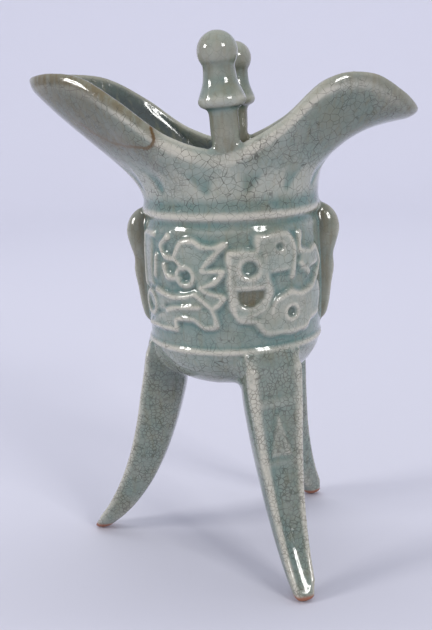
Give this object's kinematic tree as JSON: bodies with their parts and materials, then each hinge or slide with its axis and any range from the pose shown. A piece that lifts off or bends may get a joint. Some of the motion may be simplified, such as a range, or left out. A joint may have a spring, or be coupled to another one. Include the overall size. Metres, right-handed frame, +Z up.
{
  "type": "tripod wine cup",
  "caption": "Tall glazed tripod wine cup with a pouring spout, a pointed tail, capped posts on the rim, ear fins, a carved belt and splayed sabre legs; it stands by itself.",
  "frame": {"origin": "middle of the box in plan, on the plane that the three soles stand on", "axes": "+Z up; +X towards the drooping spout, -X towards the pointed tail; the two posts stand on the rim along Y, with the front one at -Y"},
  "size_m": [0.1248, 0.0885, 0.1728],
  "materials": {
    "celadon_glaze": "thick glossy grey-green celadon with a brown crackle, pale where it is thin"
  },
  "bodies": {
    "root": {"wine_cup": "celadon_glaze"}
  },
  "joints": []
}
